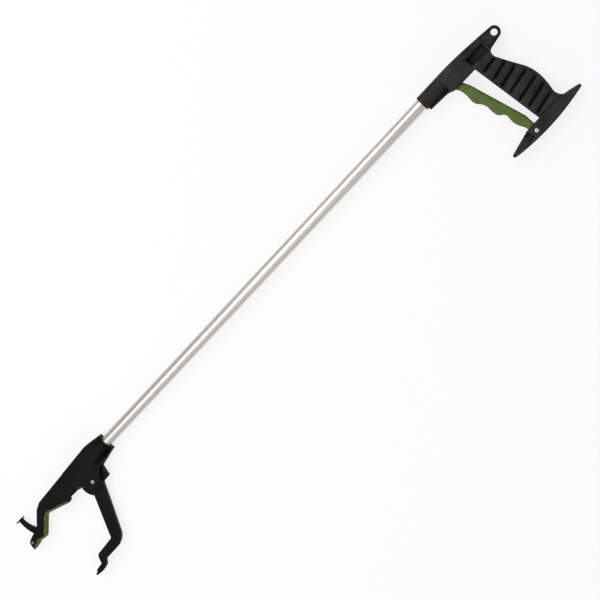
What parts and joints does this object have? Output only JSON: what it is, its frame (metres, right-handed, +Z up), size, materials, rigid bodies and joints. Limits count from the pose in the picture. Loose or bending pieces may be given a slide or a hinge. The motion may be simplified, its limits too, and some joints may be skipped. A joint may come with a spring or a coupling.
{
  "type": "reacher grabber",
  "caption": "Hand-held reacher with a pistol grip, a squeeze trigger, a long straight tube and a hooked jaw pair that closes on what is to be picked up.",
  "frame": {"origin": "centre of the tool's length and width, on the surface that it lies on", "axes": "+X along the tube towards the jaws, +Y towards the side of the grip, +Z up, square to the plane in which trigger and jaw swing"},
  "size_m": [0.9236, 0.144, 0.0239],
  "materials": {
    "black_abs": "moulded ABS with a fine spark-eroded grain",
    "green_abs": "moulded polypropylene, satin",
    "green_rubber": "moulded rubber, dull",
    "anodised_tube": "drawn tube, satin anodised",
    "bright_steel": "turned, bright",
    "zinc_steel": "zinc plated",
    "spring_steel": "oiled spring steel",
    "magnet_steel": "nickel plated",
    "nylon": "natural nylon"
  },
  "bodies": {
    "frame": {"handle": "black_abs", "jaw_head": "black_abs", "fixed_jaw_liner": "green_rubber", "tip_magnet": "magnet_steel", "main_tube": "anodised_tube", "rear_bush": "nylon", "front_bush": "nylon", "tube_screws": "zinc_steel", "spring_seat_washer": "zinc_steel", "return_spring": "spring_steel", "trigger_pin": "bright_steel", "trigger_pin_clip": "spring_steel", "jaw_rivet": "bright_steel", "jaw_rivet_washer": "zinc_steel"},
    "trigger_lever": {"trigger": "green_abs", "rear_link_pin": "zinc_steel", "rear_pin_clip": "spring_steel"},
    "pull_rod_set": {"pull_rod": "zinc_steel", "rear_clevis": "zinc_steel", "front_clevis": "zinc_steel", "rod_lock_nuts": "zinc_steel", "spring_collar": "nylon", "collar_clip": "spring_steel"},
    "jaw_lever": {"moving_jaw": "black_abs", "jaw_pivot_bush": "nylon", "front_link_pin": "zinc_steel", "front_pin_clip": "spring_steel"}
  },
  "joints": [
    {"name": "trigger_pivot", "type": "hinge", "parent": "frame", "child": "trigger_lever", "pos_m": [-0.3902, 0.0638, 0.0115], "axis": [0, 0, -1], "range_deg": [0, 7.88]},
    {"name": "rod_slide", "type": "slide", "parent": "frame", "child": "pull_rod_set", "axis": [-1, 0, 0], "range_m": [0, 0.01642], "stiffness_N_per_m": 730, "springref_m": -0.008, "deforming": ["return_spring"]},
    {"name": "jaw_pivot", "type": "hinge", "parent": "frame", "child": "jaw_lever", "pos_m": [0.3268, -0.032, 0.0115], "axis": [0, 0, -1], "range_deg": [0, 39.31]}
  ],
  "couplings": [
    {"joint": "rod_slide", "follows": "trigger_pivot", "m_per_rad": 0.11938},
    {"joint": "jaw_pivot", "follows": "trigger_pivot", "ratio": 4.99}
  ]
}
